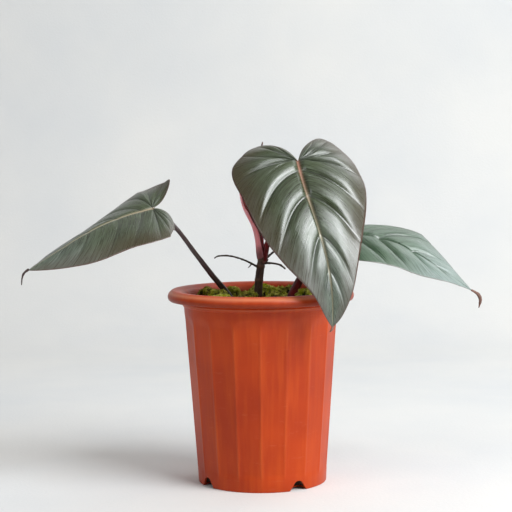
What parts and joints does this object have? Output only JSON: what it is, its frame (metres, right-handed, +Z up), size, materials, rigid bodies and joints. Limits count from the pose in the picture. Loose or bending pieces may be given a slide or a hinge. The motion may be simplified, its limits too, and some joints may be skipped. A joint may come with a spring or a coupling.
{
  "type": "potted philodendron cutting",
  "caption": "Rooted philodendron cutting with dark satin heart-shaped leaves in a fluted terracotta-coloured plastic pot topped with moss.",
  "frame": {"origin": "centre of the pot's underside, on the surface it stands on", "axes": "+Z up along the axis of the pot, -Y towards the front where the largest leaf hangs, +X to the right as seen from the front"},
  "size_m": [0.428, 0.1843, 0.331],
  "materials": {
    "pot_plastic": "satin",
    "potting_mix": "matte",
    "stem_bark": "matte",
    "petiole_skin": "satin",
    "leaf_blade": "satin",
    "leaf_blade_pale": "satin",
    "rolled_leaf": "satin",
    "sheath_skin": "satin",
    "dried_tip": "matte",
    "root_skin": "matte",
    "moss": "matte"
  },
  "bodies": {
    "root": {"aerial_root_back": "root_skin", "aerial_root_left": "root_skin", "aerial_root_right": "root_skin", "axillary_bud": "rolled_leaf", "buried_root_1": "root_skin", "buried_root_2": "root_skin", "buried_root_3": "root_skin", "buried_root_4": "root_skin", "buried_root_5": "root_skin", "cataphyll": "sheath_skin", "drip_tip_front": "dried_tip", "drip_tip_left": "petiole_skin", "drip_tip_right": "dried_tip", "leaf_front": "leaf_blade", "leaf_left": "leaf_blade", "leaf_right": "leaf_blade_pale", "main_stem": "stem_bark", "moss_01": "moss", "moss_02": "moss", "moss_03": "moss", "moss_04": "moss", "moss_05": "moss", "moss_06": "moss", "moss_07": "moss", "moss_08": "moss", "moss_09": "moss", "moss_10": "moss", "moss_11": "moss", "moss_12": "moss", "new_leaf": "rolled_leaf", "petiole_front": "petiole_skin", "petiole_left": "petiole_skin", "petiole_right": "petiole_skin", "pot": "pot_plastic", "potting_mix": "potting_mix"}
  },
  "joints": []
}
